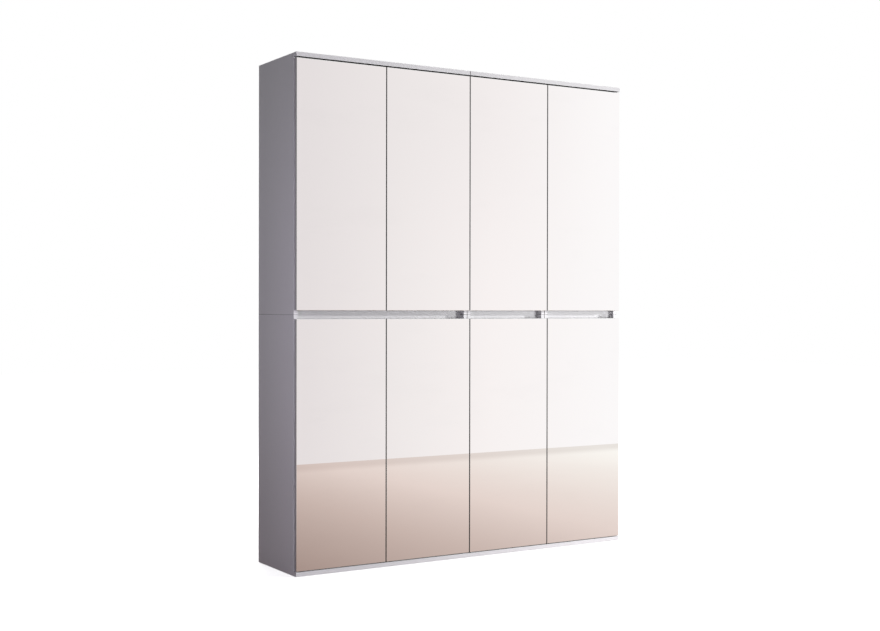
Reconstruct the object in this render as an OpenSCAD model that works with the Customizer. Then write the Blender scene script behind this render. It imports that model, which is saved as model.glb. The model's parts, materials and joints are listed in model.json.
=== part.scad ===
// Hallway cabinet with eight mirrored doors, in millimetres.
// Three units stand side by side, a double one and two single ones, each of two stacked modules.
// The origin is on the floor under the middle, with the mirrors facing -Y and +X to the right.

/* [Cabinet] */
// Height from the floor to the top
body_h = 1910; // [1860:1:2000]
// Depth from the mirrors to the rear edges
body_d = 335; // [320:1:400]
// Width of the cabinet that one door covers
door_pitch = 375; // [350:1:450]
// Height of the glides under the bottom boards
glide_h = 2; // [2:1:5]

/* [Boards] */
// Thickness of the boards
board_t = 16; // [16:1:18]
// Thickness of the back panels
back_t = 3; // [3:0.5:4]
// Distance from the rear edges to the back panels
back_inset = 8; // [6:1:12]
// Depth of the grooves that hold the back panels
groove_depth = 6; // [4:1:7]

/* [Doors] */
// Thickness of the mirrors
mirror_t = 3; // [3:1:4]
// Gap between neighbouring doors
door_gap = 4; // [3:0.5:4]
// Gap between the lower doors and the bottom boards
door_bottom_gap = 3; // [2:1:6]
// Gap between the upper doors and the top boards
door_top_gap = 5; // [2:1:6]
// Gap between the back of a door and the side boards
door_stand_off = 1.5; // [1.5:0.5:3]
// Distance from the mirrors to the boards behind the grip recess
grip_depth = 50; // [45:1:60]

/* [Shelves] */
// Shelves in each lower module
lower_shelf_count = 4; // [2, 4]
// Shelves in each upper module
upper_shelf_count = 2; // [2, 4]
// Distance from the mirrors to the front edges of the shelves
shelf_setback = 55; // [50:1:80]

/* [Hinges] */
// Distance from a door's ends to its outer hinges
hinge_inset = 100; // [85:1:115]
// Radius of the bore for a hinge cup
cup_bore_r = 17.5; // [17.4:0.1:17.6]
// Distance from a door's hinge edge to the middle of the cups
cup_offset = 22.5; // [22.5:0.1:23]

/* [Hidden] */
$fn = 48;
// How far a cutting shape runs past the surface that it cuts
over = 1;
LEVELS = ["lower", "upper"];
UNITS = ["wide", "middle", "right"];
DOOR_PARTS = ["door", "mirror", "hinge_cups", "hinge_links"];
BOARD_PARTS = ["sides", "top", "bottom"];

white = [0.93, 0.93, 0.93];
silver = [0.80, 0.84, 0.86];
steel = [0.66, 0.67, 0.69];
plastic = [0.82, 0.82, 0.80];

// Planes from front to back
front_y = -body_d / 2;
back_y = body_d / 2;
door_back_y = front_y + mirror_t + board_t;
side_front_y = door_back_y + door_stand_off;
grip_y = front_y + grip_depth;
shelf_front_y = front_y + shelf_setback;
panel_back_y = back_y - back_inset;
panel_front_y = panel_back_y - back_t;

// Heights, with the lower modules as level 0 and the upper ones as level 1
seam_z = body_h / 2;
function inner_bottom(level) = (level == 0 ? glide_h : seam_z) + board_t;
function inner_top(level) = (level == 0 ? seam_z : body_h) - board_t;
function door_bottom(level) = inner_bottom(level) + (level == 0 ? door_bottom_gap : 0);
function door_top(level) = inner_top(level) - (level == 0 ? 0 : door_top_gap);

// Widths, with each unit spanning one or two doors
first_slot = [0, 2, 3];
slot_count = [2, 1, 1];
function slot_left(slot) = (slot - 2) * door_pitch;
function unit_left(unit) = slot_left(first_slot[unit]);
function unit_right(unit) = unit_left(unit) + slot_count[unit] * door_pitch;
function inner_x(unit, side) = side == 0 ? unit_left(unit) + board_t : unit_right(unit) - board_t;
function inwards(side) = side == 0 ? 1 : -1;
reveal = door_gap / 2;
door_w = door_pitch - door_gap;

// Shelves, spread evenly over the height of a module
shelf_side_gap = 1;
shelf_back_gap = 1.5;
pin_columns = [-75, 110];
pin_pitch = 32;
pin_stem_r = 2.45;
pin_hole_r = 2.5;
pin_hole_depth = 8.5;
pin_stem_length = 8;
pin_peg_r = 3;
pin_peg_length = 8;
pin_collar_r = 4;
pin_collar_t = 0.8;
function shelf_count(level) = level == 0 ? lower_shelf_count : upper_shelf_count;
function shelf_space(level) =
    (inner_top(level) - inner_bottom(level) - shelf_count(level) * board_t) / (shelf_count(level) + 1);
function shelf_bottom(level, i) = inner_bottom(level) + i * shelf_space(level) + (i - 1) * board_t;

// Grooves are wider than the panels by this on each face, and longer by this at each edge
groove_side_play = 0.1;
groove_end_play = 1;

// Cam fittings, in the side boards at the outer ends and in the boards at the seam
cam_columns = [-105, 125];
cam_setback = 34;
cam_bore_r = 7.5;
cam_bore_depth = 12.5;
cam_r = 7.3;
cam_h = 12;
cam_sunk = 0.3;
cam_slot = [8, 1.2, 1.5];
cam_mouth_r = 3.6;
cam_bolt_r = 2.9;
cam_bolt_bore_r = 3.2;
cam_bolt_reach = 11;
cam_bolt_play = 0.5;

// Sleeve bolts that hold neighbouring modules together
unit_bolt_inset = 42;
unit_bolt_columns = [-60, 80];
seam_bolt_y = 20;
sleeve_r = 3.9;
sleeve_bore_r = 2.7;
sleeve_floor_t = 1;
sleeve_short = 4;
screw_r = 2.5;
screw_short = 6;
bolt_bore_r = 4;
bolt_head_r = 7.5;
bolt_head_t = 1.5;
bolt_slot = [6, 1.2, 0.8];

// Wall brackets under the top boards, each with a collar that goes through the back panel
bracket_w = 30;
bracket_t = 2;
bracket_leg = 40;
bracket_drop = 45;
bracket_inset = 120;
bracket_hole_drop = 30;
bracket_hole_r = 3.5;
bracket_collar_r = 5.5;
panel_hole_r = 6;
bracket_screw_r = 3.5;
bracket_screw_t = 1.2;
bracket_screw_columns = [12, 28];

// Glides
glide_r = 12;
glide_x_inset = 30;
glide_y_inset = 35;

// Hinges, measured from a door's hinge edge along X and from its back into the cabinet along Y.
// A link turns on the arm's pin, and the door turns on the pin at the link's other end.
arm_pin = [33.5, 22];
cup_pin = [9.3, -7];
elbow = [17.5, -9.5];
pin_r = 1.2;
pin_bore_r = 1.25;
link_t = 2;
link_w = 9;
cup_knuckle_r = 2;
arm_knuckle_r = 2.5;
cup_r = 17.3;
cup_inner_r = 16.5;
cup_depth = 12;
cup_bore_depth = 12.2;
cup_floor_t = 0.8;
cup_pin_half = 9.9;
flange_t = 1;
flange_r = 19.5;
flange_x = 17;
flange_ears = [19, 62];
flange_screw = [28.5, 24];
side_face_x = board_t - reveal;
plate_t = 2;
plate_y = 37;
plate_size = [20, 56];
plate_screw_z = 16;
hinge_screw_r = 4;
hinge_screw_t = 0.8;
arm_half_w = 6.4;
arm_slot_half_w = 5;
arm_web_t = 2;
arm_front_x = 37.5;
arm_front_y = 18;
arm_slot_y = 26;
arm_outline = [
    [side_face_x + plate_t, 30],
    [30, arm_front_y],
    [arm_front_x, arm_front_y],
    [arm_front_x, 28],
    [31, 48],
    [25, 64],
    [side_face_x + plate_t, 64]
];
arm_screw_r = 3;
arm_screw_y = 54;
arm_screw_x = [22, 29.5];
function hinge_heights(level) = [
    door_bottom(level) + hinge_inset,
    (door_bottom(level) + door_top(level)) / 2,
    door_top(level) - hinge_inset
];

// A block between its lowest and highest corners
module block(low, high) {
    translate(low) cube(high - low);
}

// A cylinder that lies along X or Y
module rod_x(r, length) {
    rotate([0, 90, 0]) cylinder(r = r, h = length);
}
module rod_y(r, length) {
    rotate([-90, 0, 0]) cylinder(r = r, h = length);
}

// Two crossed slots, cut down from the origin
module cross_slot(size) {
    for (turn = [0, 90]) {
        rotate([0, 0, turn])
            block([-size[0] / 2, -size[1] / 2, -size[2]], [size[0] / 2, size[1] / 2, over]);
    }
}

// Turns and moves a fitting so that its +Z becomes face and its +X becomes toward
module placed(at, face, toward) {
    across = cross(face, toward);
    multmatrix([
        [toward[0], across[0], face[0], at[0]],
        [toward[1], across[1], face[1], at[1]],
        [toward[2], across[2], face[2], at[2]]
    ]) children();
}

// Where the eight cam fittings of a module sit: position, face and direction of the bolt
function cam_places(level, unit) = concat(
    [for (side = [0, 1]) for (y = cam_columns) [
        [
            inner_x(unit, side),
            y,
            level == 0 ? inner_bottom(0) + cam_setback : inner_top(1) - cam_setback
        ],
        [inwards(side), 0, 0],
        [0, 0, level == 0 ? -1 : 1]
    ]],
    [for (side = [0, 1]) for (y = cam_columns) [
        [inner_x(unit, side) + inwards(side) * cam_setback, y, level == 0 ? inner_top(0) : inner_bottom(1)],
        [0, 0, level == 0 ? -1 : 1],
        [-inwards(side), 0, 0]
    ]]
);

module cam_bores(level, unit) {
    for (p = cam_places(level, unit)) {
        placed(p[0], p[1], p[2]) {
            translate([0, 0, -cam_bore_depth]) cylinder(r = cam_bore_r, h = cam_bore_depth + over);
            translate([0, 0, -board_t / 2])
                rod_x(cam_bolt_bore_r, cam_setback + cam_bolt_reach + cam_bolt_play);
        }
    }
}

module cam_fitting() {
    difference() {
        translate([0, 0, -cam_sunk - cam_h]) cylinder(r = cam_r, h = cam_h);
        translate([0, 0, -cam_sunk]) cross_slot(cam_slot);
        translate([0, 0, -board_t / 2]) rod_x(cam_mouth_r, cam_r + over);
    }
    translate([cam_bolt_play, 0, -board_t / 2])
        rod_x(cam_bolt_r, cam_setback + cam_bolt_reach - cam_bolt_play);
}

module cam_fittings() {
    color(steel) for (level = [0, 1]) for (unit = [0:2]) for (p = cam_places(level, unit)) {
        placed(p[0], p[1], p[2]) cam_fitting();
    }
}

// Where the sleeve bolts sit: between two units, and between the two levels of a unit
function unit_bolt_heights(level) =
    [inner_bottom(level) + unit_bolt_inset, inner_top(level) - unit_bolt_inset];
function side_bolt_places() = [
    for (unit = [0, 1]) for (level = [0, 1]) for (z = unit_bolt_heights(level)) for (y = unit_bolt_columns)
        [unit_right(unit), y, z]
];
function seam_bolt_places(unit) = [
    for (share = [0.25, 0.75])
        [unit_left(unit) + share * (unit_right(unit) - unit_left(unit)), seam_bolt_y, seam_z]
];

module bolt_bore() {
    translate([0, 0, -board_t - over]) cylinder(r = bolt_bore_r, h = 2 * (board_t + over));
}

module sleeve_bolt() {
    difference() {
        union() {
            translate([0, 0, -board_t - bolt_head_t]) cylinder(r = bolt_head_r, h = bolt_head_t);
            translate([0, 0, -board_t]) cylinder(r = sleeve_r, h = 2 * board_t - sleeve_short);
        }
        translate([0, 0, -board_t + sleeve_floor_t]) cylinder(r = sleeve_bore_r, h = 2 * board_t);
        translate([0, 0, -board_t - bolt_head_t]) mirror([0, 0, 1]) cross_slot(bolt_slot);
    }
    difference() {
        union() {
            translate([0, 0, board_t]) cylinder(r = bolt_head_r, h = bolt_head_t);
            translate([0, 0, -board_t + screw_short]) cylinder(r = screw_r, h = 2 * board_t - screw_short);
        }
        translate([0, 0, board_t + bolt_head_t]) cross_slot(bolt_slot);
    }
}

module unit_bolts() {
    color(steel) {
        for (p = side_bolt_places()) translate(p) rotate([0, 90, 0]) sleeve_bolt();
        for (unit = [0:2]) for (p = seam_bolt_places(unit)) translate(p) sleeve_bolt();
    }
}

// The holes for shelf pins: one for each pin, one above it and one below
function pin_height(level, i) = shelf_bottom(level, i) - pin_peg_r;

module pin_holes(level, unit, side) {
    for (i = [1:shelf_count(level)]) for (y = pin_columns) for (step = [-1, 0, 1]) {
        translate([inner_x(unit, side), y, pin_height(level, i) + step * pin_pitch])
            mirror([1 - side, 0, 0]) translate([-over, 0, 0]) rod_x(pin_hole_r, pin_hole_depth + over);
    }
}

module shelf_pin() {
    translate([-pin_stem_length, 0, 0]) rod_x(pin_stem_r, pin_stem_length + pin_collar_t);
    rod_x(pin_collar_r, pin_collar_t);
    rod_x(pin_peg_r, pin_peg_length);
}

module shelf_pins() {
    color(steel) for (level = [0, 1]) for (unit = [0:2]) for (i = [1:shelf_count(level)]) {
        for (side = [0, 1]) for (y = pin_columns) {
            translate([inner_x(unit, side), y, pin_height(level, i)]) mirror([side, 0, 0]) shelf_pin();
        }
    }
}

module shelves(unit) {
    color(white) for (level = [0, 1]) for (i = [1:shelf_count(level)]) {
        z = shelf_bottom(level, i);
        block(
            [inner_x(unit, 0) + shelf_side_gap, shelf_front_y, z],
            [inner_x(unit, 1) - shelf_side_gap, panel_front_y - shelf_back_gap, z + board_t]
        );
    }
}

// The space of a back panel, grown by side across its faces and by end at its edges
module panel_space(level, unit, side, end) {
    edge = groove_depth + end;
    block(
        [inner_x(unit, 0) - edge, panel_front_y - side, inner_bottom(level) - edge],
        [inner_x(unit, 1) + edge, panel_back_y + side, inner_top(level) + edge]
    );
}

module groove(level, unit) {
    panel_space(level, unit, groove_side_play, groove_end_play);
}

// Where the wall brackets sit along a unit
function bracket_places(unit) = unit == 0
    ? [unit_left(0) + bracket_inset, unit_right(0) - bracket_inset]
    : [(unit_left(unit) + unit_right(unit)) / 2];
bracket_hole_z = inner_top(1) - bracket_hole_drop;

module backs() {
    color(white) for (level = [0, 1]) for (unit = [0:2]) difference() {
        panel_space(level, unit, 0, 0);
        if (level == 1) {
            for (x = bracket_places(unit)) {
                translate([x, panel_front_y - over, bracket_hole_z]) rod_y(panel_hole_r, back_t + 2 * over);
            }
        }
    }
}

module wall_bracket() {
    difference() {
        union() {
            block([-bracket_w / 2, -bracket_t, -bracket_drop], [bracket_w / 2, 0, 0]);
            block([-bracket_w / 2, -bracket_leg, -bracket_t], [bracket_w / 2, 0, 0]);
            translate([0, -bracket_t, -bracket_hole_drop]) rod_y(bracket_collar_r, bracket_t + back_t);
            for (y = bracket_screw_columns) {
                translate([0, -y, -bracket_t - bracket_screw_t])
                    cylinder(r = bracket_screw_r, h = bracket_t + bracket_screw_t);
            }
        }
        translate([0, -bracket_t - over, -bracket_hole_drop])
            rod_y(bracket_hole_r, bracket_t + back_t + 2 * over);
    }
}

module wall_brackets() {
    color(steel) for (unit = [0:2]) for (x = bracket_places(unit)) {
        translate([x, panel_front_y, inner_top(1)]) wall_bracket();
    }
}

// Side boards stand on the bottom board, carry the top board and meet at the seam
module sides(level, unit) {
    low = level == 0 ? inner_bottom(0) : seam_z;
    high = level == 0 ? seam_z : inner_top(1);
    color(white) for (side = [0, 1]) difference() {
        block(
            [side == 0 ? unit_left(unit) : inner_x(unit, 1), side_front_y, low],
            [side == 0 ? inner_x(unit, 0) : unit_right(unit), back_y, high]
        );
        groove(level, unit);
        cam_bores(level, unit);
        pin_holes(level, unit, side);
        for (p = side_bolt_places()) translate(p) rotate([0, 90, 0]) bolt_bore();
    }
}

// The outer boards cover the side boards and reach forward to the mirrors
module outer_board(level, unit) {
    z = level == 0 ? glide_h : body_h - board_t;
    color(white) difference() {
        block([unit_left(unit), front_y, z], [unit_right(unit), back_y, z + board_t]);
        groove(level, unit);
        cam_bores(level, unit);
    }
}

// The boards at the seam lie between the side boards and stand back, which leaves the grip recess
module seam_board(level, unit) {
    z = level == 0 ? seam_z - board_t : seam_z;
    color(white) difference() {
        block([inner_x(unit, 0), grip_y, z], [inner_x(unit, 1), back_y, z + board_t]);
        groove(level, unit);
        cam_bores(level, unit);
        for (p = seam_bolt_places(unit)) translate(p) bolt_bore();
    }
}

module glides() {
    color(plastic) for (unit = [0:2]) for (side = [0, 1]) {
        edge = side == 0 ? unit_left(unit) : unit_right(unit);
        for (y = [front_y + glide_y_inset, back_y - glide_y_inset]) {
            translate([edge + inwards(side) * glide_x_inset, y, 0]) cylinder(r = glide_r, h = glide_h);
        }
    }
}

// Door 1 hangs on the left, and the others hang on the right.
// Children are drawn from the hinge edge along X and from the door's back into the cabinet along Y.
module at_door(n) {
    left_hung = n == 1;
    edge = slot_left(n - 1) + (left_hung ? reveal : door_pitch - reveal);
    translate([edge, door_back_y, 0]) mirror([left_hung ? 0 : 1, 0, 0]) children();
}

module door(level, n) {
    color(white) at_door(n) difference() {
        block([0, -board_t, door_bottom(level)], [door_w, 0, door_top(level)]);
        for (h = hinge_heights(level)) {
            translate([cup_offset, -cup_bore_depth, h]) rod_y(cup_bore_r, cup_bore_depth + over);
        }
    }
}

module mirror_pane(level, n) {
    color(silver) at_door(n)
        block([0, -board_t - mirror_t, door_bottom(level)], [door_w, -board_t, door_top(level)]);
}

module hinge_cup() {
    difference() {
        union() {
            translate([cup_offset, -cup_depth, 0]) rod_y(cup_r, cup_depth);
            block(
                [flange_x, 0, -flange_ears[1] / 2],
                [flange_x + flange_ears[0], flange_t, flange_ears[1] / 2]
            );
            intersection() {
                translate([cup_offset, 0, 0]) rod_y(flange_r, flange_t);
                block([flange_x, 0, -flange_r], [cup_offset + flange_r, flange_t, flange_r]);
            }
            for (end = [-1, 1]) translate([flange_screw[0], 0, end * flange_screw[1]]) {
                rod_y(hinge_screw_r, flange_t + hinge_screw_t);
            }
        }
        translate([cup_offset, -cup_depth + cup_floor_t, 0]) rod_y(cup_inner_r, cup_depth + flange_t);
    }
    translate([cup_pin[0], cup_pin[1], -cup_pin_half]) cylinder(r = pin_r, h = 2 * cup_pin_half);
}

module hinge_cups(level, n) {
    color(steel) at_door(n) for (h = hinge_heights(level)) translate([0, 0, h]) union() {
        hinge_cup();
    }
}

// A flat bar of the link from one point to another
module link_bar(from, to) {
    run = to - from;
    translate(from) rotate(atan2(run[1], run[0])) translate([0, -link_t / 2]) square([norm(run), link_t]);
}

module hinge_link() {
    linear_extrude(height = link_w, center = true) difference() {
        union() {
            translate(cup_pin) circle(r = cup_knuckle_r);
            translate(arm_pin) circle(r = arm_knuckle_r);
            translate(elbow) circle(r = link_t / 2);
            link_bar(cup_pin, elbow);
            link_bar(elbow, arm_pin);
        }
        translate(cup_pin) circle(r = pin_bore_r);
        translate(arm_pin) circle(r = pin_bore_r);
    }
}

module hinge_links(level, n) {
    color(steel) at_door(n) for (h = hinge_heights(level)) translate([0, 0, h]) hinge_link();
}

module hinge_arm() {
    difference() {
        linear_extrude(height = 2 * arm_half_w, center = true) polygon(arm_outline);
        block(
            [side_face_x + plate_t + arm_web_t, arm_front_y - over, -arm_slot_half_w],
            [arm_front_x + over, arm_slot_y, arm_slot_half_w]
        );
    }
    translate([arm_pin[0], arm_pin[1], 0]) cylinder(r = pin_r, h = 2 * arm_half_w, center = true);
    plate_low = door_stand_off + plate_y - plate_size[0] / 2;
    block(
        [side_face_x, plate_low, -plate_size[1] / 2],
        [side_face_x + plate_t, plate_low + plate_size[0], plate_size[1] / 2]
    );
    for (end = [-1, 1]) translate([side_face_x, door_stand_off + plate_y, end * plate_screw_z]) {
        rod_x(hinge_screw_r, plate_t + hinge_screw_t);
    }
    translate([arm_screw_x[0], arm_screw_y, 0]) rod_x(arm_screw_r, arm_screw_x[1] - arm_screw_x[0]);
}

module hinge_arms() {
    color(steel) for (level = [0, 1]) for (n = [1:4]) for (h = hinge_heights(level)) {
        at_door(n) translate([0, 0, h]) union() {
            hinge_arm();
        }
    }
}

for (level = [0, 1]) {
    for (n = [1:4]) {
        door(level, n);
        mirror_pane(level, n);
        hinge_cups(level, n);
        hinge_links(level, n);
    }
    for (unit = [0:2]) {
        sides(level, unit);
    }
}
for (unit = [0:2]) {
    outer_board(0, unit);
    seam_board(0, unit);
    seam_board(1, unit);
    outer_board(1, unit);
    shelves(unit);
}
backs();
hinge_arms();
shelf_pins();
glides();
cam_fittings();
unit_bolts();
wall_brackets();
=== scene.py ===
import json
import math

import bmesh
import bpy
from mathutils import Matrix, Vector


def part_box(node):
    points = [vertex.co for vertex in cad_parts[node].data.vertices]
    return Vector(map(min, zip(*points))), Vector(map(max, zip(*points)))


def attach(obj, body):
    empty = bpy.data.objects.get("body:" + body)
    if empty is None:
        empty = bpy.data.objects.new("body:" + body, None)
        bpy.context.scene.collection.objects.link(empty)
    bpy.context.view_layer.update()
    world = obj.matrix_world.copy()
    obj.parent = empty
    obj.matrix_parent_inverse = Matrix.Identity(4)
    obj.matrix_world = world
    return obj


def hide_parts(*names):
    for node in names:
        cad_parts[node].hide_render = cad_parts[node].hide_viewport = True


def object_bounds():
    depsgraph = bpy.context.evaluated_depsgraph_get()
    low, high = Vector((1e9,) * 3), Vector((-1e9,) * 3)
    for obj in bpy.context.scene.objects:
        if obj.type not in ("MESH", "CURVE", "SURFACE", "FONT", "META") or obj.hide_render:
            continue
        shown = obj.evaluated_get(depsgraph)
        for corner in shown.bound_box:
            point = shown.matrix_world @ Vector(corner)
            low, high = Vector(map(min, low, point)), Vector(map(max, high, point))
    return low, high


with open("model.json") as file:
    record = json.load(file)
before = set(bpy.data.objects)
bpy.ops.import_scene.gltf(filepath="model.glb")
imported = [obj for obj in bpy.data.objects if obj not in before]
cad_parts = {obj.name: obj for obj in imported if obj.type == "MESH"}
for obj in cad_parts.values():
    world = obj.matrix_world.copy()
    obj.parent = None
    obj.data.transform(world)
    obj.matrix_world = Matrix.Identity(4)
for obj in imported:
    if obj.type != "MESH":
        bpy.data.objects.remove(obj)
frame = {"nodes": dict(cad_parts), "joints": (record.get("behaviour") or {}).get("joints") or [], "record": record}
cad_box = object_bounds()

LEVELS = ("lower", "upper")
UNITS = ("wide", "middle", "right")
DOORS = (1, 2, 3, 4)

# Where the photograph was taken from, fitted to the cabinet's edges in it
CAMERA_PLACE = Vector((-2.8011, -4.5133, 0.9789))
CAMERA_YAW = math.radians(-31.5004)
CAMERA_PITCH = math.radians(-0.3071)
CAMERA_ROLL = math.radians(0.0921)
CAMERA_LENS = 53.87

# The stage: a floor, and a wall opposite the mirrors that only reflections show
CABINET_FRONT = cad_box[0].y
FLOOR_HALF = 15.0
WALL_Y = CABINET_FRONT - 3.13
WALL_HALF_WIDTH = 9.0
WALL_HEIGHT = 6.0

# Their tones in the mirrors, from left to right: x, and the colour as it looks on screen
WALL_TONES = (
    (0.8, (230, 223, 223)),
    (1.5, (241, 235, 234)),
    (2.2, (250, 244, 243)),
    (3.2, (254, 251, 251)),
)
FLOOR_TONES = (
    (-2.8, (240, 231, 227)),
    (-0.8, (160, 138, 130)),
    (0.1, (202, 182, 174)),
    (0.9, (231, 214, 207)),
    (3.0, (255, 252, 247)),
)
# The wall's shade, high up and to the left: its strength, and the heights and the places from left to
# right between which it grows to full
WALL_SHADE = 0.3
WALL_SHADE_HEIGHTS = (0.8, 2.4)
WALL_SHADE_SIDES = (3.3, 2.0)
# The floor's darker strip along the wall: its strength, and the distances from the wall between which
# it grows to full
FOOT_SHADE = 0.22
FOOT_SHADE_REACH = (0.45, 0.15)
# Uneven patches on both, at their strongest
PATCHES = 0.1

# What the floor gives back to the cabinet, which is most in front of its right half
BOUNCE_TONES = (
    (-1.2, (80, 76, 79)),
    (-0.4, (134, 130, 132)),
    (0.75, (224, 219, 220)),
    (1.1, (136, 132, 134)),
)
# The floor's own glow towards the camera near the cabinet, and the distances from the cabinet's middle
# between which it grows to full white
GLOW_NEAR = 0.76
GLOW_REACH = (1.5, 3.5)

# The key light, seen from the middle of the front: degrees to the right of straight ahead, and up
KEY_AZIMUTH = math.radians(66)
KEY_ELEVATION = math.radians(10)
KEY_DISTANCE = 7.0
KEY_SIZE = (0.35, 0.35)
KEY_POWER = 372.0
# The other lamps: name, place, width and height, power and colour. Two stand in front at the height
# of the recess, a tall weak one on the left, and one above behind.
LAMP_WHITE = (1.0, 1.0, 1.0)
OTHER_LAMPS = (
    ("near", (0.9, -1.6, 0.93), (0.5, 0.5), 15.2, LAMP_WHITE),
    ("front", (-1.0, -2.4, 0.95), (0.5, 0.5), 5.5, LAMP_WHITE),
    ("left", (-1.5, -0.88, 0.9), (0.4, 2.0), 3.9, (1.04, 0.95, 1.18)),
    ("rear", (0.4, 2.6, 3.6), (2.0, 2.0), 100.0, LAMP_WHITE),
)
# The soft light from all round
AMBIENT = 0.064

# Rounding of the edges where two faces differ by more than an angle, in radians
OUTER_EDGE = 0.001
BOARD_EDGE = 0.0006
METAL_EDGE = 0.0002
EDGE_ANGLE = 0.6
EDGE_SEGMENTS = 2
WELD_DISTANCE = 1e-6

# The arris ground round each mirror, and where its look and the glass edge's stand in a pane's list
ARRIS_WIDTH = 0.001
ARRIS_DEPTH = 0.0007
ARRIS_INDEX = 1
EDGE_INDEX = 2

# Behind the band on a board's front edge comes the coated face. The hairline between them has gone at
# the first of these distances from its middle, and is full at the second.
BAND_DEPTH = 0.0012
HAIRLINE = (0.00022, 0.00006)
# How far behind a board's front its bare edges begin and are full
BARE_BEHIND = (0.001, 0.002)
# The joints between units and between the two levels show as dark lines of dust and painted shade,
# this wide to each side, and fade over a little more
JOINT_LINE = 0.0013
SEAM_LINE = 0.0005
LINE_FADE = 0.0002
JOINTS = [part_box(f"{unit}_upper_top")[0].x for unit in UNITS[1:]]
MIDDLE_UNIT_CENTRE = (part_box("middle_upper_top")[0].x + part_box("middle_upper_top")[1].x) / 2
SEAM_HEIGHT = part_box("wide_lower_top")[1].z
# A dark line of painted shade along the front of a door's edge, next to its mirror, seen in the gaps between doors
DOOR_GAP_SHADE_WIDTH = 0.0018
# The painted shade under the top boards, over the upper doors, reaches back as far as the side boards' front
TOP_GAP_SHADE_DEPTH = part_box("wide_upper_sides")[0].y - CABINET_FRONT
# Scuffs fade out at this height
SCUFF_HEIGHT = 0.09
# The mesh pattern on the rear of a hardboard panel
SCREEN_PITCH = 0.0021

# Which way a face looks, told from its normal's part along an axis: that way, from FACING on. Each
# pair says where the look of an edge begins and where it is full. The first two go by the part through
# the board, which is small on its edges, and the last two by the part backwards.
FACING = 0.6
DOOR_EDGE_NORMALS = (0.6, 0.3)
BARE_EDGE_NORMALS = (0.45, 0.2)
REAR_EDGE_NORMALS = (0.6, 0.8)
HARDBOARD_REAR_NORMALS = (-0.9, -0.7)

# The hinges, measured as in the CAD source: from a door's hinge edge and from its back
HINGE_INSET = 0.100
FLANGE_SCREW_X = 0.0285
FLANGE_SCREW_TOP = 0.0018
FLANGE_SCREW_Z = 0.024
PLATE_SCREW_RISE = 0.0028
PLATE_SCREW_Y = 0.0385
PLATE_SCREW_Z = 0.016
ARM_SCREW_TOP = 0.0295
ARM_SCREW_Y = 0.054
HINGE_SCREW_R = 0.004
ARM_SCREW_R = 0.003
# The brackets, measured from their top and from the back panels
BRACKET_SCREW_R = 0.0035
BRACKET_SCREW_DROP = 0.0032
BRACKET_SCREW_SETBACKS = (0.012, 0.028)

# A screw head, in shares of its radius: rim, crown, the heights of its shoulder and crown, and how far
# the cross recess reaches and its half width, at the mouth and at the floor
HEAD_RIM = 1.02
HEAD_CROWN = 0.82
HEAD_SHOULDER_RISE = 0.06
HEAD_RISE = 0.2
CROSS_MOUTH = (0.62, 0.16)
CROSS_FLOOR = (0.40, 0.10)
# How deep the head's root and the recess's floor lie below the top of the CAD disc
HEAD_ROOT = 0.0004
CROSS_DEPTH = 0.0003
CIRCLE_CORNERS = 24

# Clear bumpers on the doors that close against a side board
BUMPER_DOORS = (3, 4)
BUMPER_R = 0.004
BUMPER_H = 0.0013
BUMPER_EDGE = 0.008
BUMPER_END = 0.040
BUMPER_RINGS = 5


def srgb(red, green, blue):
    """A colour written as it looks on screen, from 0 to 255, as the linear colour a shader takes."""
    linear = []
    for value in (red, green, blue):
        share = value / 255
        linear.append(share / 12.92 if share <= 0.04045 else ((share + 0.055) / 1.055) ** 2.4)
    return (*linear, 1.0)


# Node helpers. A value that they take is a plain one, or the socket that feeds it.

def add_node(tree, kind, inputs, **settings):
    """A node with its settings and its inputs, which are named or counted."""
    made = tree.nodes.new(kind)
    for key, value in settings.items():
        setattr(made, key, value)
    for key, value in inputs.items():
        if isinstance(value, bpy.types.NodeSocket):
            tree.links.new(value, made.inputs[key])
        else:
            made.inputs[key].default_value = value
    return made


def calc(tree, operation, first, second=0.0):
    return add_node(tree, "ShaderNodeMath", {0: first, 1: second}, operation=operation).outputs[0]


def times(tree, first, second):
    return calc(tree, "MULTIPLY", first, second)


def off_from(tree, value, mark):
    """How far value is from mark, to either side."""
    return calc(tree, "ABSOLUTE", calc(tree, "SUBTRACT", value, mark))


def ramp_between(tree, value, start, full):
    """0 up to start, 1 from full on, and smooth between. Either of the two may be the larger."""
    inputs = {"Value": value, "From Min": start, "From Max": full}
    made = add_node(tree, "ShaderNodeMapRange", inputs, interpolation_type="SMOOTHSTEP")
    return made.outputs["Result"]


def mix_value(tree, share, first, second):
    inputs = {0: share, 2: first, 3: second}
    return add_node(tree, "ShaderNodeMix", inputs, data_type="FLOAT").outputs[0]


def mix_colour(tree, share, first, second):
    inputs = {0: share, 6: first, 7: second}
    return add_node(tree, "ShaderNodeMix", inputs, data_type="RGBA").outputs[2]


def veil(tree, base, mask, strength, colour):
    """The base colour under a colour that covers it as far as mask and strength say."""
    return mix_colour(tree, times(tree, mask, strength), base, colour)


def colour_steps(tree, value, steps):
    """A colour that goes evenly from step to step, each of them a value and a colour on screen."""
    first, last = steps[0][0], steps[-1][0]
    inputs = {"Value": value, "From Min": first, "From Max": last}
    share = add_node(tree, "ShaderNodeMapRange", inputs).outputs["Result"]
    made = add_node(tree, "ShaderNodeValToRGB", {"Fac": share})
    stops = made.color_ramp.elements
    for at, colour in steps[1:-1]:
        stops.new((at - first) / (last - first)).color = srgb(*colour)
    stops[0].color = srgb(*steps[0][1])
    stops[len(stops) - 1].color = srgb(*steps[-1][1])
    return made.outputs["Color"]


def parts_of(tree, vector):
    made = add_node(tree, "ShaderNodeSeparateXYZ", {"Vector": vector})
    return made.outputs["X"], made.outputs["Y"], made.outputs["Z"]


def stretched(tree, place, factors):
    inputs = {"Vector": place, "Scale": factors}
    return add_node(tree, "ShaderNodeMapping", inputs).outputs["Vector"]


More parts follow.
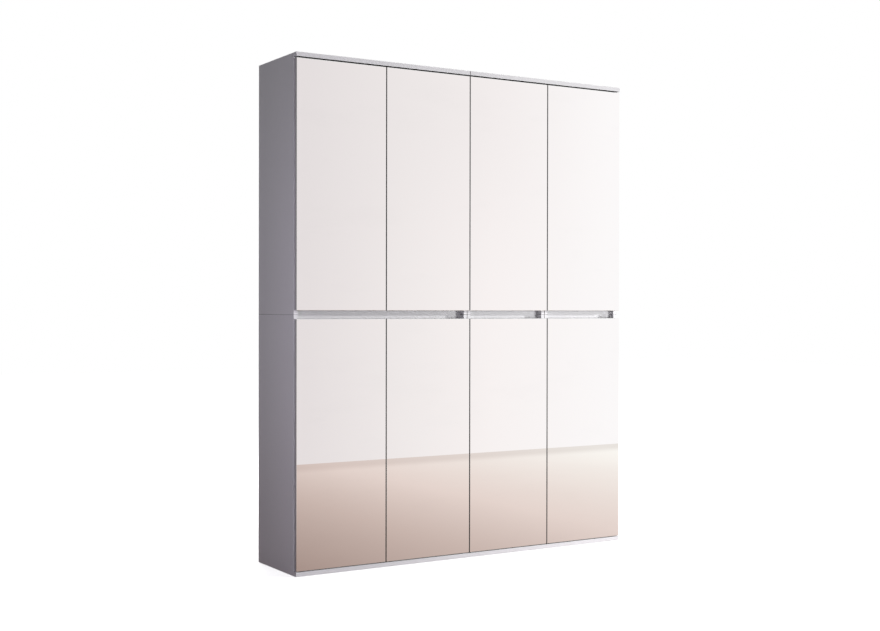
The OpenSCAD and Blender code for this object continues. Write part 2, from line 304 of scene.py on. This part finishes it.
def noise(tree, place, scale, detail=2.0, roughness=0.5):
    inputs = {"Vector": place, "Scale": scale, "Detail": detail, "Roughness": roughness}
    return add_node(tree, "ShaderNodeTexNoise", inputs).outputs["Fac"]


def cells(tree, place, scale):
    """A value that stays the same within each small cell, and differs from cell to cell."""
    made = add_node(tree, "ShaderNodeTexVoronoi", {"Vector": place, "Scale": scale})
    return parts_of(tree, made.outputs["Color"])[0]


def bump(tree, height, strength, distance):
    inputs = {"Height": height, "Strength": strength, "Distance": distance}
    return add_node(tree, "ShaderNodeBump", inputs).outputs["Normal"]


def diffuse(tree, colour):
    return add_node(tree, "ShaderNodeBsdfDiffuse", {"Color": colour}).outputs[0]


def emission(tree, colour, strength=1.0):
    inputs = {"Color": colour, "Strength": strength}
    return add_node(tree, "ShaderNodeEmission", inputs).outputs[0]


def mix_shader(tree, share, first, second):
    return add_node(tree, "ShaderNodeMixShader", {0: share, 1: first, 2: second}).outputs[0]


def principled(tree, output, inputs):
    shader = add_node(tree, "ShaderNodeBsdfPrincipled", inputs)
    tree.links.new(shader.outputs[0], output.inputs["Surface"])


def new_material(name):
    """An empty node material with its output, and the position on the piece itself."""
    material = bpy.data.materials.new(name)
    material.use_nodes = True
    tree = material.node_tree
    tree.nodes.clear()
    output = tree.nodes.new("ShaderNodeOutputMaterial")
    place = tree.nodes.new("ShaderNodeTexCoord").outputs["Object"]
    return material, tree, output, place


def normal_at(place):
    """The normal on the piece itself, from the node that gives the position."""
    return place.node.outputs["Normal"]


# Materials

def board_material(name, kind, front_y):
    """White melamine on chipboard, with a band on the front edge, which lies at front_y.

    A "side" board stands upright and a "flat" one lies, and their other edges are bare. An "outer"
    board, at the top or the bottom, is bare only on its rear edge. A "door" board has a light grey
    band all round, painted grey for the shade in the gaps between doors, and a dark line of painted
    shade along its front.
    """
    material, tree, output, place = new_material(name)
    x, y, z = parts_of(tree, place)
    normal_x, normal_y, normal_z = parts_of(tree, normal_at(place))

    cloudy = noise(tree, place, 2.3, detail=3.0)
    mottled = noise(tree, place, 70.0, detail=3.0)
    white = mix_colour(tree, cloudy, srgb(241, 240, 241), srgb(234, 233, 236))
    white = veil(tree, white, mottled, 0.35, srgb(229, 229, 231))

    # The band ends in a hairline where its glue meets the coated face
    behind = calc(tree, "SUBTRACT", y, front_y)
    hairline = ramp_between(tree, off_from(tree, behind, BAND_DEPTH), *HAIRLINE)
    white = veil(tree, white, hairline, 0.45, srgb(168, 164, 160))

    # Dust and painted shade in the joints between the units and between the levels: plain is 0 there
    plain = 1.0
    for joint in JOINTS:
        off = off_from(tree, x, joint)
        plain = times(tree, plain, ramp_between(tree, off, JOINT_LINE, JOINT_LINE + LINE_FADE))
    if kind == "side":
        off = off_from(tree, z, SEAM_HEIGHT)
        plain = times(tree, plain, ramp_between(tree, off, SEAM_LINE, SEAM_LINE + LINE_FADE))
    if kind == "outer":
        # On the front edges only the joint at the top beside the double unit is dark
        upper = calc(tree, "GREATER_THAN", z, SEAM_HEIGHT)
        front_joint_marked = times(tree, upper, calc(tree, "LESS_THAN", x, MIDDLE_UNIT_CENTRE))
        front = calc(tree, "LESS_THAN", normal_y, -FACING)
        front_unmarked = times(tree, front, calc(tree, "SUBTRACT", 1.0, front_joint_marked))
        plain = calc(tree, "MAXIMUM", plain, front_unmarked)
    # The joints take a dark grey: dust, and painted shade between the parts
    white = mix_colour(tree, plain, srgb(96, 92, 92), white)

    # Painted shade: a dark strip under the top boards, where the gap over the closed doors lies in shade
    if kind == "outer":
        under = times(tree, upper, calc(tree, "LESS_THAN", normal_z, -FACING))
        top_gap_shade = times(tree, under, calc(tree, "LESS_THAN", behind, TOP_GAP_SHADE_DEPTH))
        white = mix_colour(tree, top_gap_shade, white, srgb(84, 82, 84))

    # Scuffs and dust low down
    low = ramp_between(tree, z, SCUFF_HEIGHT, 0.0)
    streaks = noise(tree, stretched(tree, place, (9.0, 9.0, 60.0)), 4.0, detail=5.0, roughness=0.7)
    scuffs = times(tree, low, ramp_between(tree, streaks, 0.5, 0.75))
    white = veil(tree, white, scuffs, 0.25, srgb(196, 192, 187))

    # Bare chipboard on the edges that never show from the front, and inside the bores
    chips = cells(tree, place, 420.0)
    gaps = ramp_between(tree, noise(tree, place, 160.0, detail=4.0), 0.52, 0.7)
    wood = mix_colour(tree, chips, srgb(158, 128, 92), srgb(214, 188, 148))
    wood = mix_colour(tree, gaps, wood, srgb(126, 96, 64))
    if kind == "door":
        on_edge = ramp_between(tree, calc(tree, "ABSOLUTE", normal_y), *DOOR_EDGE_NORMALS)
        door_gap_shade = calc(tree, "LESS_THAN", y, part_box("lower_door_1")[0].y + DOOR_GAP_SHADE_WIDTH)
        # The door's edges are painted grey for the shade in the gaps between doors
        white = mix_colour(tree, on_edge, white, srgb(186, 183, 186))
        # Painted shade: a dark line along the front of the door's edge, next to the mirror
        white = veil(tree, white, on_edge, door_gap_shade, srgb(74, 72, 74))
        across = 0.0
    elif kind == "outer":
        across = ramp_between(tree, normal_y, *REAR_EDGE_NORMALS)
    else:
        facing = calc(tree, "ABSOLUTE", normal_x if kind == "side" else normal_z)
        across = ramp_between(tree, facing, *BARE_EDGE_NORMALS)
    bare = times(tree, across, ramp_between(tree, behind, *BARE_BEHIND))

    grain = noise(tree, place, 1500.0)
    peel = noise(tree, place, 420.0)
    coated = calc(tree, "ADD", times(tree, grain, 0.5), peel)
    coated = calc(tree, "SUBTRACT", coated, times(tree, hairline, 0.8))
    height = mix_value(tree, bare, coated, times(tree, chips, 2.5))
    principled(tree, output, {
        "Base Color": mix_colour(tree, bare, white, wood),
        "Roughness": mix_value(tree, bare, mix_value(tree, mottled, 0.38, 0.52), 0.85),
        "Normal": bump(tree, height, strength=0.25, distance=0.00012),
    })
    return material


def hardboard_material():
    """A back panel: white lacquer inside, and brown mesh-marked hardboard towards the wall."""
    material, tree, output, place = new_material("white_hardboard_look")
    x, _, z = parts_of(tree, place)
    normal_y = parts_of(tree, normal_at(place))[1]
    rear = ramp_between(tree, normal_y, *HARDBOARD_REAR_NORMALS)
    cloudy = noise(tree, place, 3.0, detail=3.0)
    white = mix_colour(tree, cloudy, srgb(238, 238, 237), srgb(229, 229, 228))
    upright = stretched(tree, place, (1.0, 1.0, 0.35))
    fibres = noise(tree, upright, 240.0, detail=5.0, roughness=0.7)
    blotches = noise(tree, place, 5.0, detail=4.0)
    brown = mix_colour(tree, fibres, srgb(122, 88, 58), srgb(168, 130, 92))
    brown = veil(tree, brown, blotches, 0.5, srgb(140, 106, 76))
    turn = 2 * math.pi / SCREEN_PITCH
    mesh_x = calc(tree, "SINE", times(tree, x, turn))
    mesh_z = calc(tree, "SINE", times(tree, z, turn))
    marked = calc(tree, "ADD", times(tree, mesh_x, mesh_z), fibres)
    height = mix_value(tree, rear, noise(tree, place, 700.0), marked)
    principled(tree, output, {
        "Base Color": mix_colour(tree, rear, white, brown),
        "Roughness": mix_value(tree, rear, 0.42, 0.82),
        "Normal": bump(tree, height, strength=0.25, distance=0.0002),
    })
    return material


def mirror_material():
    """Silvered float glass, with the faint haze that wiping leaves."""
    material, tree, output, place = new_material("mirror_face_look")
    wipes = noise(tree, stretched(tree, place, (1.0, 1.0, 2.6)), 3.4, detail=5.0, roughness=0.62)
    haze = ramp_between(tree, wipes, 0.50, 0.74)
    specks = ramp_between(tree, noise(tree, place, 90.0), 0.70, 0.76)
    cloudy = noise(tree, place, 1.1, detail=1.0)
    tint = mix_colour(tree, cloudy, srgb(254, 254, 254), srgb(252, 253, 253))
    tint = veil(tree, tint, haze, 0.2, srgb(246, 247, 247))
    roughness = calc(tree, "ADD", times(tree, haze, 0.018), times(tree, specks, 0.02))
    principled(tree, output, {
        "Base Color": tint,
        "Metallic": 1.0,
        "Roughness": calc(tree, "ADD", roughness, 0.004),
        "Normal": bump(tree, wipes, strength=0.02, distance=0.0001),
    })
    return material


def arris_material():
    """The narrow bevel round a mirror, which catches the light."""
    material, tree, output, place = new_material("mirror_arris_look")
    grinding = noise(tree, place, 600.0, detail=3.0)
    principled(tree, output, {
        "Base Color": mix_colour(tree, grinding, srgb(252, 254, 253), srgb(240, 245, 243)),
        "Metallic": 1.0,
        "Roughness": mix_value(tree, grinding, 0.12, 0.3),
        "Normal": bump(tree, grinding, strength=0.1, distance=0.00005),
    })
    return material


def glass_edge_material():
    """The ground edge of a mirror, where the thickness of the glass looks dark and green."""
    material, tree, output, place = new_material("mirror_edge_look")
    grinding = noise(tree, stretched(tree, place, (40.0, 900.0, 40.0)), 1.0, detail=3.0)
    principled(tree, output, {
        "Base Color": mix_colour(tree, grinding, srgb(92, 106, 100), srgb(66, 80, 74)),
        "Roughness": mix_value(tree, grinding, 0.08, 0.22),
        "IOR": 1.52,
        "Normal": bump(tree, grinding, strength=0.1, distance=0.00005),
    })
    return material


def steel_material(name, light, dark, grain_scale, roughness):
    """Plated steel with fine drawn lines, between the two roughnesses, and cloudy plating."""
    material, tree, output, place = new_material(name)
    drawn = stretched(tree, place, (1.0, 1.0, 14.0))
    lines = noise(tree, drawn, grain_scale, detail=4.0, roughness=0.6)
    plating = noise(tree, place, 130.0, detail=3.0)
    colour = mix_colour(tree, plating, light, dark)
    colour = veil(tree, colour, cells(tree, place, 330.0), 0.3, dark)
    principled(tree, output, {
        "Base Color": colour,
        "Metallic": 1.0,
        "Roughness": mix_value(tree, lines, *roughness),
        "Normal": bump(tree, lines, strength=0.12, distance=0.00005),
    })
    return material


def plastic_material(name, light, dark, transmission):
    material, tree, output, place = new_material(name)
    cloudy = noise(tree, place, 60.0, detail=3.0)
    principled(tree, output, {
        "Base Color": mix_colour(tree, cloudy, light, dark),
        "Roughness": mix_value(tree, cloudy, 0.32, 0.5),
        "Transmission Weight": transmission,
        "IOR": 1.48,
        "Normal": bump(tree, noise(tree, place, 1100.0), strength=0.2, distance=0.00006),
    })
    return material


def dress(node, material, edge=0.0):
    """Gives a CAD node its material and, if edge is more than 0, softly rounded edges."""
    thing = frame["nodes"][node]
    thing.data.materials.clear()
    thing.data.materials.append(material)
    if edge:
        weld = thing.modifiers.new("weld", "WELD")
        weld.merge_threshold = WELD_DISTANCE
        round_edges = thing.modifiers.new("round_edges", "BEVEL")
        round_edges.width = edge
        round_edges.segments = EDGE_SEGMENTS
        round_edges.limit_method = "ANGLE"
        round_edges.angle_limit = EDGE_ANGLE
        round_edges.harden_normals = True


def dress_cad_nodes(nickel, zinc):
    side_look = board_material("side_board_look", "side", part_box("wide_upper_sides")[0].y)
    outer_look = board_material("outer_board_look", "outer", CABINET_FRONT)
    seam_look = board_material("seam_board_look", "flat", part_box("wide_lower_top")[0].y)
    shelf_look = board_material("shelf_look", "flat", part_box("wide_shelves")[0].y)
    # A door's band has no hairline, so its front is put behind the whole cabinet
    door_look = board_material("door_board_look", "door", cad_box[1].y)
    glide_look = plastic_material("glide_look", srgb(226, 226, 222), srgb(214, 214, 209), 0.0)
    for unit in UNITS:
        for level in LEVELS:
            dress(f"{unit}_{level}_sides", side_look, OUTER_EDGE)
        dress(f"{unit}_upper_top", outer_look, OUTER_EDGE)
        dress(f"{unit}_lower_bottom", outer_look, OUTER_EDGE)
        dress(f"{unit}_lower_top", seam_look, BOARD_EDGE)
        dress(f"{unit}_upper_bottom", seam_look, BOARD_EDGE)
        dress(f"{unit}_shelves", shelf_look, BOARD_EDGE)
    for level in LEVELS:
        for n in DOORS:
            dress(f"{level}_door_{n}", door_look, BOARD_EDGE)
            dress(f"{level}_hinge_cups_{n}", nickel, METAL_EDGE)
            dress(f"{level}_hinge_links_{n}", nickel, METAL_EDGE)
    dress("backs", hardboard_material())
    dress("hinge_arms", nickel, METAL_EDGE)
    dress("shelf_pins", nickel)
    dress("unit_bolts", nickel)
    dress("cam_fittings", zinc)
    dress("wall_brackets", zinc, METAL_EDGE)
    dress("glides", glide_look)


# Pieces that Blender adds

def new_piece(name, shape, materials, smooth=False):
    """Turns a bmesh into an object of the scene with these materials."""
    mesh = bpy.data.meshes.new(name)
    shape.to_mesh(mesh)
    shape.free()
    for material in materials:
        mesh.materials.append(material)
    if smooth:
        for face in mesh.polygons:
            face.use_smooth = True
    thing = bpy.data.objects.new(name, mesh)
    bpy.context.scene.collection.objects.link(thing)
    return thing


def ring(shape, points, place=Matrix()):
    """The corners of a closed ring, with place as the frame of its points."""
    return [shape.verts.new(place @ Vector(point)) for point in points]


def ring_edges(shape, corners):
    """The edges along a ring that already has faces."""
    pairs = zip(corners, corners[1:] + corners[:1])
    return [shape.edges.get(pair) for pair in pairs]


def bridge(shape, first, second, material_index=0):
    """Faces between two rings with the same number of corners."""
    count = len(first)
    for i in range(count):
        j = (i + 1) % count
        face = shape.faces.new((first[i], first[j], second[j], second[i]))
        face.material_index = material_index


def mirror_pane(level, n, looks):
    """A mirror with an arris all round: the silvered face is a little smaller than the pane."""
    low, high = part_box(f"{level}_mirror_{n}")

    def corners(inset, y):
        left, right = low.x + inset, high.x - inset
        bottom, top = low.z + inset, high.z - inset
        return [(left, y, bottom), (right, y, bottom), (right, y, top), (left, y, top)]

    shape = bmesh.new()
    front = ring(shape, corners(ARRIS_WIDTH, low.y))
    shoulder = ring(shape, corners(0.0, low.y + ARRIS_DEPTH))
    back = ring(shape, corners(0.0, high.y))
    shape.faces.new(front)
    bridge(shape, shoulder, front, ARRIS_INDEX)
    bridge(shape, back, shoulder, EDGE_INDEX)
    shape.faces.new(list(reversed(back))).material_index = EDGE_INDEX
    bmesh.ops.recalc_face_normals(shape, faces=shape.faces)
    pane = new_piece(f"mirror_pane_{level}_{n}", shape, looks)
    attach(pane, f"{level}_door_{n}")
    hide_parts(f"{level}_mirror_{n}")


def mirror_panes():
    looks = (mirror_material(), arris_material(), glass_edge_material())
    for level in LEVELS:
        for n in DOORS:
            mirror_pane(level, n, looks)


def circle_points(radius, height):
    turns = [2 * math.pi * i / CIRCLE_CORNERS for i in range(CIRCLE_CORNERS)]
    return [(radius * math.cos(turn), radius * math.sin(turn), height) for turn in turns]


def cross_points(radius, shares, height):
    """The twelve corners of a cross, anticlockwise from the right-hand arm."""
    reach, half_width = [share * radius for share in shares]
    points = []
    for quarter in range(4):
        turn = Matrix.Rotation(quarter * math.pi / 2, 3, "Z")
        for x, y in ((reach, -half_width), (reach, half_width), (half_width, half_width)):
            points.append(turn @ Vector((x, y, height)))
    return points


def screw_head(shape, at, face, radius):
    """A pan head with a cross recess, which stands on its CAD disc and looks along face."""
    place = Matrix.Translation(at) @ Vector(face).to_track_quat("Z", "Y").to_matrix().to_4x4()
    rise = HEAD_RISE * radius
    root = ring(shape, circle_points(HEAD_RIM * radius, -HEAD_ROOT), place)
    shoulder = ring(shape, circle_points(HEAD_RIM * radius, HEAD_SHOULDER_RISE * radius), place)
    crown = ring(shape, circle_points(HEAD_CROWN * radius, rise), place)
    mouth = ring(shape, cross_points(radius, CROSS_MOUTH, rise), place)
    floor = ring(shape, cross_points(radius, CROSS_FLOOR, -CROSS_DEPTH), place)
    bridge(shape, root, shoulder)
    bridge(shape, shoulder, crown)
    bridge(shape, mouth, floor)
    shape.faces.new(floor)
    edges = ring_edges(shape, crown) + ring_edges(shape, mouth)
    bmesh.ops.triangle_fill(shape, use_beauty=True, edges=edges, normal=Vector(face))


def hinge_places(level, n):
    """A door's hinge edge, the direction from it into the door, the door's back, and the heights."""
    low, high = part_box(f"{level}_door_{n}")
    pin = next(j["pos_m"] for j in frame["joints"] if j["name"] == f"{level}_door_{n}_swing")
    left_hung = pin[0] < (low.x + high.x) / 2
    edge = low.x if left_hung else high.x
    heights = (low.z + HINGE_INSET, (low.z + high.z) / 2, high.z - HINGE_INSET)
    return edge, (1 if left_hung else -1), high.y, heights


def hinge_screw_heads(nickel):
    """The heads on each door's hinge cups, and those on all mounting plates and arms."""
    fixed = bmesh.new()
    low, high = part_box("wide_upper_top")
    board = high.z - low.z
    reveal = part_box("lower_door_1")[0].x - low.x
    plate_x = board - reveal + PLATE_SCREW_RISE
    for level in LEVELS:
        for n in DOORS:
            edge, inward, back, heights = hinge_places(level, n)
            cup_x = edge + inward * FLANGE_SCREW_X
            on_door = bmesh.new()
            for z in heights:
                for side in (-1, 1):
                    flange = (cup_x, back + FLANGE_SCREW_TOP, z + side * FLANGE_SCREW_Z)
                    screw_head(on_door, flange, (0, 1, 0), HINGE_SCREW_R)
                    plate = (edge + inward * plate_x, back + PLATE_SCREW_Y, z + side * PLATE_SCREW_Z)
                    screw_head(fixed, plate, (inward, 0, 0), HINGE_SCREW_R)
                arm = (edge + inward * ARM_SCREW_TOP, back + ARM_SCREW_Y, z)
                screw_head(fixed, arm, (inward, 0, 0), ARM_SCREW_R)
            heads = new_piece(f"screw_heads_{level}_door_{n}", on_door, (nickel,))
            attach(heads, f"{level}_door_{n}")
    heads = new_piece("screw_heads_hinge_arms", fixed, (nickel,))
    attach(heads, "cabinet")


def bracket_screw_heads(zinc):
    on_brackets = bmesh.new()
    panel_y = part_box("backs")[0].y
    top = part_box("wall_brackets")[1].z
    for mount in frame["record"]["mounts"]:
        if mount["name"].startswith("wall_screw"):
            for setback in BRACKET_SCREW_SETBACKS:
                at = (mount["pos_m"][0], panel_y - setback, top - BRACKET_SCREW_DROP)
                screw_head(on_brackets, at, (0, 0, -1), BRACKET_SCREW_R)
    heads = new_piece("screw_heads_wall_brackets", on_brackets, (zinc,))
    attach(heads, "cabinet")


def bumper_dome(shape, at):
    """A low dome on a door's back, with its middle at this place."""
    place = Matrix.Translation(at) @ Matrix.Rotation(-math.pi / 2, 4, "X")
    below = ring(shape, circle_points(BUMPER_R, 0.0), place)
    shape.faces.new(list(reversed(below)))
    for k in range(1, BUMPER_RINGS + 1):
        tilt = k * math.pi / 2 / (BUMPER_RINGS + 1)
        points = circle_points(BUMPER_R * math.cos(tilt), BUMPER_H * math.sin(tilt))
        above = ring(shape, points, place)
        bridge(shape, below, above)
        below = above
    shape.faces.new(below)


def bumpers():
    clear = plastic_material("clear_bumper_look", srgb(236, 238, 238), srgb(222, 226, 226), 0.7)
    for level in LEVELS:
        for n in BUMPER_DOORS:
            low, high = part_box(f"{level}_door_{n}")
            shape = bmesh.new()
            for z in (low.z + BUMPER_END, high.z - BUMPER_END):
                bumper_dome(shape, (low.x + BUMPER_EDGE, high.y, z))
            domes = new_piece(f"bumpers_{level}_door_{n}", shape, (clear,), smooth=True)
            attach(domes, f"{level}_door_{n}")


# Stage, lights and camera

def rays(tree):
    """Whether a ray comes from the camera, and whether it comes by gloss or through glass."""
    path = tree.nodes.new("ShaderNodeLightPath")
    glossy, through = path.outputs["Is Glossy Ray"], path.outputs["Is Transmission Ray"]
    return path.outputs["Is Camera Ray"], calc(tree, "MAXIMUM", glossy, through)


def floor_material():
    """White to the camera but for the shadow, and pale and warm in reflections."""
    material, tree, output, place = new_material("floor_look")
    camera, reflected = rays(tree)
    x, y, _ = parts_of(tree, place)
    away = add_node(tree, "ShaderNodeVectorMath", {0: place}, operation="LENGTH").outputs["Value"]
    strength = mix_value(tree, ramp_between(tree, away, *GLOW_REACH), GLOW_NEAR, 1.0)
    shadowed = diffuse(tree, srgb(235, 235, 235))
    glow = emission(tree, srgb(255, 255, 255), strength)
    shown = add_node(tree, "ShaderNodeAddShader", {0: shadowed, 1: glow}).outputs[0]
    tone = colour_steps(tree, x, FLOOR_TONES)
    tone = veil(tree, tone, noise(tree, place, 1.7, detail=4.0), PATCHES, srgb(206, 188, 178))
    start, full = [WALL_Y + reach for reach in FOOT_SHADE_REACH]
    foot = ramp_between(tree, y, start, full)
    tone = veil(tree, tone, foot, FOOT_SHADE, srgb(150, 125, 118))
    bounce = diffuse(tree, colour_steps(tree, x, BOUNCE_TONES))
    hidden = mix_shader(tree, reflected, bounce, emission(tree, tone))
    tree.links.new(mix_shader(tree, camera, hidden, shown), output.inputs["Surface"])
    return material


def wall_material():
    """A pale plaster wall that grows lighter towards the right."""
    material, tree, output, place = new_material("wall_look")
    x, _, z = parts_of(tree, place)
    tone = colour_steps(tree, x, WALL_TONES)
    higher = ramp_between(tree, z, *WALL_SHADE_HEIGHTS)
    shade = times(tree, higher, ramp_between(tree, x, *WALL_SHADE_SIDES))
    tone = veil(tree, tone, shade, WALL_SHADE, srgb(230, 224, 224))
    tone = veil(tree, tone, noise(tree, place, 0.8, detail=3.0), PATCHES, srgb(240, 234, 234))
    tree.links.new(emission(tree, tone), output.inputs["Surface"])
    return material


def plane(name, corners, material):
    shape = bmesh.new()
    shape.faces.new(ring(shape, corners))
    thing = new_piece(name, shape, (material,))
    return thing


def make_stage():
    half = FLOOR_HALF
    corners = [(-half, -half, 0), (half, -half, 0), (half, half, 0), (-half, half, 0)]
    plane("floor", corners, floor_material())
    wide, high = WALL_HALF_WIDTH, WALL_HEIGHT
    corners = [(wide, WALL_Y, 0), (-wide, WALL_Y, 0), (-wide, WALL_Y, high), (wide, WALL_Y, high)]
    wall = plane("wall", corners, wall_material())
    wall.visible_camera = False
    wall.visible_diffuse = False
    wall.visible_shadow = False
    wall.visible_transmission = False
    wall.visible_volume_scatter = False


def make_world():
    """White where the camera and reflections see it, and a plain soft light on everything else."""
    world = bpy.data.worlds.new("world")
    bpy.context.scene.world = world
    world.use_nodes = True
    tree = world.node_tree
    tree.nodes.clear()
    seen = calc(tree, "MAXIMUM", *rays(tree))
    inputs = {"Color": srgb(252, 247, 255), "Strength": AMBIENT}
    soft = add_node(tree, "ShaderNodeBackground", inputs).outputs[0]
    inputs = {"Color": srgb(255, 255, 255), "Strength": 1.0}
    white = add_node(tree, "ShaderNodeBackground", inputs).outputs[0]
    output = tree.nodes.new("ShaderNodeOutputWorld")
    tree.links.new(mix_shader(tree, seen, soft, white), output.inputs["Surface"])


def area_light(name, place, target, size, power, colour):
    data = bpy.data.lights.new(name, "AREA")
    data.shape = "ELLIPSE"
    data.size, data.size_y = size
    data.energy = power
    data.color = colour
    lamp = bpy.data.objects.new(name, data)
    lamp.location = place
    lamp.rotation_mode = "QUATERNION"
    lamp.rotation_quaternion = (target - Vector(place)).to_track_quat("-Z", "Y")
    lamp.visible_camera = False
    lamp.visible_glossy = False
    bpy.context.scene.collection.objects.link(lamp)


def make_lights():
    middle = Vector((0, CABINET_FRONT, (cad_box[0].z + cad_box[1].z) / 2))
    flat = math.cos(KEY_ELEVATION)
    right, ahead = math.sin(KEY_AZIMUTH) * flat, math.cos(KEY_AZIMUTH) * flat
    key_place = middle + KEY_DISTANCE * Vector((right, -ahead, math.sin(KEY_ELEVATION)))
    area_light("key", key_place, middle, KEY_SIZE, KEY_POWER, LAMP_WHITE)
    for name, place, size, power, colour in OTHER_LAMPS:
        area_light(name, place, middle, size, power, colour)


def make_camera():
    data = bpy.data.cameras.new("camera")
    data.lens = CAMERA_LENS
    camera = bpy.data.objects.new("camera", data)
    turn = Matrix.Rotation(CAMERA_YAW, 4, "Z") @ Matrix.Rotation(math.pi / 2 + CAMERA_PITCH, 4, "X")
    turn = turn @ Matrix.Rotation(CAMERA_ROLL, 4, "Z")
    camera.matrix_world = Matrix.Translation(CAMERA_PLACE) @ turn
    bpy.context.scene.collection.objects.link(camera)
    bpy.context.scene.camera = camera


make_camera()
make_stage()
make_world()
make_lights()
nickel_look = steel_material(
    "nickel_look", srgb(214, 212, 207), srgb(188, 186, 181), grain_scale=900.0, roughness=(0.2, 0.36))
zinc_look = steel_material(
    "zinc_look", srgb(196, 199, 202), srgb(160, 163, 167), grain_scale=500.0, roughness=(0.34, 0.52))
dress_cad_nodes(nickel_look, zinc_look)
mirror_panes()
hinge_screw_heads(nickel_look)
bracket_screw_heads(zinc_look)
bumpers()
bpy.context.scene.view_settings.view_transform = "Standard"

bpy.context.view_layer.update()
